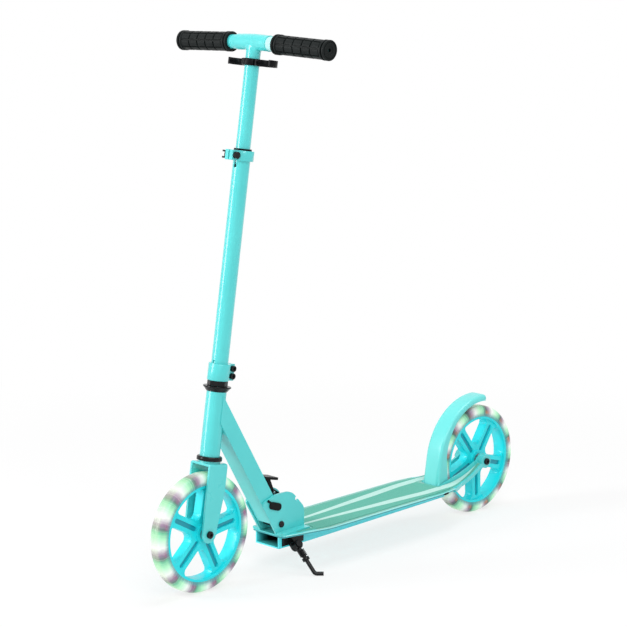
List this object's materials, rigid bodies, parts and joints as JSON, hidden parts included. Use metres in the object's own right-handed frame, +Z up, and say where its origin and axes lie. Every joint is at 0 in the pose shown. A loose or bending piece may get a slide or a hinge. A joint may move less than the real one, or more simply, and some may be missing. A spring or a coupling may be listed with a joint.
{
  "type": "folding kick scooter",
  "caption": "Folding kick scooter with clear light-up wheels, a flat deck with grip tape, a height-adjustable T-bar with pull-out grips, a fender foot brake and a side kickstand.",
  "frame": {"origin": "on the ground, midway between the two axles and centred across the scooter", "axes": "+X forward, +Y to the rider's left, +Z up"},
  "size_m": [0.882, 0.3408, 0.9052],
  "materials": {
    "aqua_alloy": "gloss paint on alloy",
    "aqua_steel": "gloss paint on steel",
    "black_steel": "satin black",
    "bright_steel": "bright zinc plate",
    "black_plastic": "satin",
    "hub_plastic": "moulded through, glossy",
    "fender_plastic": "moulded through, glossy",
    "clear_tyre": "clear polyurethane, faintly cloudy",
    "light_modules": "clear casing with coloured lights",
    "grip_rubber": "moulded block pattern",
    "pad_rubber": "matt",
    "tape": "gritty grip tape with pale stripes"
  },
  "bodies": {
    "deck": {"deck_plate": "aqua_alloy", "deck_beam": "aqua_alloy", "grip_tape": "tape", "fold_plate_left": "aqua_alloy", "fold_plate_right": "aqua_alloy", "pivot_bolt": "black_steel", "pivot_nut": "black_steel", "lock_covers": "black_plastic", "rear_arm_left": "aqua_alloy", "rear_arm_right": "aqua_alloy", "rear_axle_bolt": "black_steel", "rear_axle_nut": "black_steel", "rear_spacers": "bright_steel", "kickstand_bracket": "black_steel", "fender_pin": "black_steel", "brake_spring": "bright_steel"},
    "kickstand": {"kickstand_leg": "black_steel", "kickstand_spring": "black_steel", "kickstand_collar": "black_steel"},
    "fender_brake": {"fender": "fender_plastic", "brake_pad": "pad_rubber"},
    "front_frame": {"head_tube": "aqua_alloy", "down_tube": "aqua_alloy", "pivot_bush": "black_plastic", "upper_cup": "black_steel", "lower_cup": "black_steel", "headset_bearings": "bright_steel", "latch_bracket": "black_steel", "latch_pin": "bright_steel"},
    "latch": {"latch_pedal": "black_plastic"},
    "steering": {"fork": "aqua_steel", "steerer_tube": "aqua_steel", "headset_nut": "black_steel", "stem_tube": "aqua_steel", "lower_clamp": "aqua_alloy", "lower_clamp_bolts": "black_steel", "clamp_collar": "aqua_alloy", "clamp_bolt": "black_steel", "stem_bush": "black_plastic", "front_axle_bolt": "black_steel", "front_axle_nut": "black_steel", "front_spacers": "bright_steel"},
    "clamp_lever": {"clamp_lever": "black_steel"},
    "handlebar": {"upper_tube": "aqua_steel", "bar_sleeve": "aqua_steel", "grip_holder": "black_plastic"},
    "grip_left": {"grip_left": "grip_rubber", "grip_tube_left": "aqua_steel"},
    "grip_right": {"grip_right": "grip_rubber", "grip_tube_right": "aqua_steel"},
    "front_wheel": {"front_tyre": "clear_tyre", "front_hub": "hub_plastic", "front_bearings": "bright_steel", "front_lights": "light_modules"},
    "rear_wheel": {"rear_tyre": "clear_tyre", "rear_hub": "hub_plastic", "rear_bearings": "bright_steel", "rear_lights": "light_modules"}
  },
  "joints": [
    {"name": "fold", "type": "hinge", "parent": "deck", "child": "front_frame", "pos_m": [0.1765, 0, 0.084], "axis": [0, -1, 0], "range_deg": [0, 78]},
    {"name": "steer", "type": "hinge", "parent": "front_frame", "child": "steering", "pos_m": [0.31016, 0, 0.2767], "axis": [-0.153, 0, 0.9882], "range_deg": [-60, 60]},
    {"name": "bar_height", "type": "slide", "parent": "steering", "child": "handlebar", "axis": [-0.153, 0, 0.9882], "range_m": [-0.12, 0.05]},
    {"name": "clamp_lever_swing", "type": "hinge", "parent": "steering", "child": "clamp_lever", "pos_m": [0.26644, -0.0143, 0.71276], "axis": [-0.153, 0, 0.9882], "range_deg": [0, 110]},
    {"name": "grip_left_pull", "type": "slide", "parent": "handlebar", "child": "grip_left", "axis": [0.0047, 0.9995, -0.0302], "range_m": [0, 0.03]},
    {"name": "grip_right_pull", "type": "slide", "parent": "handlebar", "child": "grip_right", "axis": [0.0047, -0.9995, -0.0302], "range_m": [0, 0.03]},
    {"name": "latch_press", "type": "hinge", "parent": "front_frame", "child": "latch", "pos_m": [0.18317, 0, 0.13822], "axis": [0, -1, 0], "range_deg": [0, 12], "stiffness_Nm_per_rad": 0.6, "springref_deg": -5.73},
    {"name": "brake_press", "type": "hinge", "parent": "deck", "child": "fender_brake", "pos_m": [-0.226, 0, 0.06346], "axis": [0, -1, 0], "range_deg": [0, 4.5], "stiffness_Nm_per_rad": 3, "springref_deg": -4.58},
    {"name": "kickstand_swing", "type": "hinge", "parent": "deck", "child": "kickstand", "pos_m": [0.156, 0.0396, 0.047], "axis": [0, 0.7713, 0.6365], "range_deg": [0, 80]},
    {"name": "front_wheel_spin", "type": "hinge", "parent": "steering", "child": "front_wheel", "pos_m": [0.341, 0, 0.1], "axis": [0, 1, 0], "continuous": true},
    {"name": "rear_wheel_spin", "type": "hinge", "parent": "deck", "child": "rear_wheel", "pos_m": [-0.341, 0, 0.1], "axis": [0, 1, 0], "continuous": true}
  ]
}
